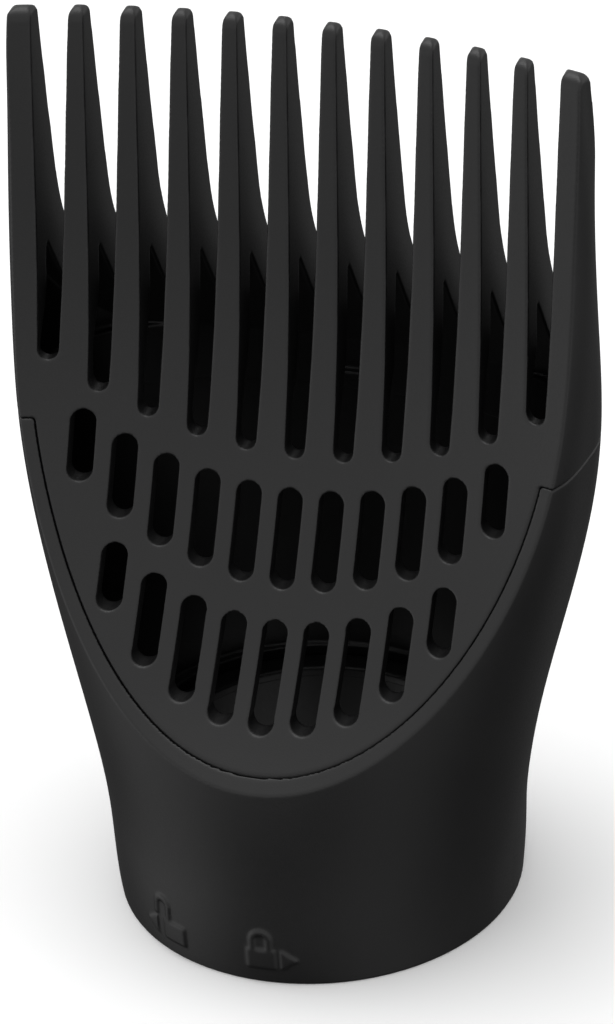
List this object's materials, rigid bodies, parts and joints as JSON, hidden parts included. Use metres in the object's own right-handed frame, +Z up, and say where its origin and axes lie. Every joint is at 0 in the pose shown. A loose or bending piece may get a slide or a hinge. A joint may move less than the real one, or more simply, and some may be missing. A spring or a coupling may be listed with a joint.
{
  "type": "hair dryer comb nozzle",
  "caption": "Comb nozzle that locks onto a hand dryer's barrel and blows air through a slotted panel and between the teeth.",
  "frame": {"origin": "centre of the collar's lower edge, on the axis of the barrel socket", "axes": "+Z up from the collar to the tooth tips, -Y towards the scooped front with the vent slots, +X across the comb"},
  "size_m": [0.0822, 0.0581, 0.1275],
  "materials": {
    "shell_plastic": "fine satin moulded black",
    "comb_plastic": "fine satin moulded black",
    "ring_plastic": "plain moulded black, semi-matte"
  },
  "bodies": {
    "root": {"body_shell": "shell_plastic", "comb_head": "comb_plastic", "coupling_ring": "ring_plastic"}
  },
  "joints": []
}
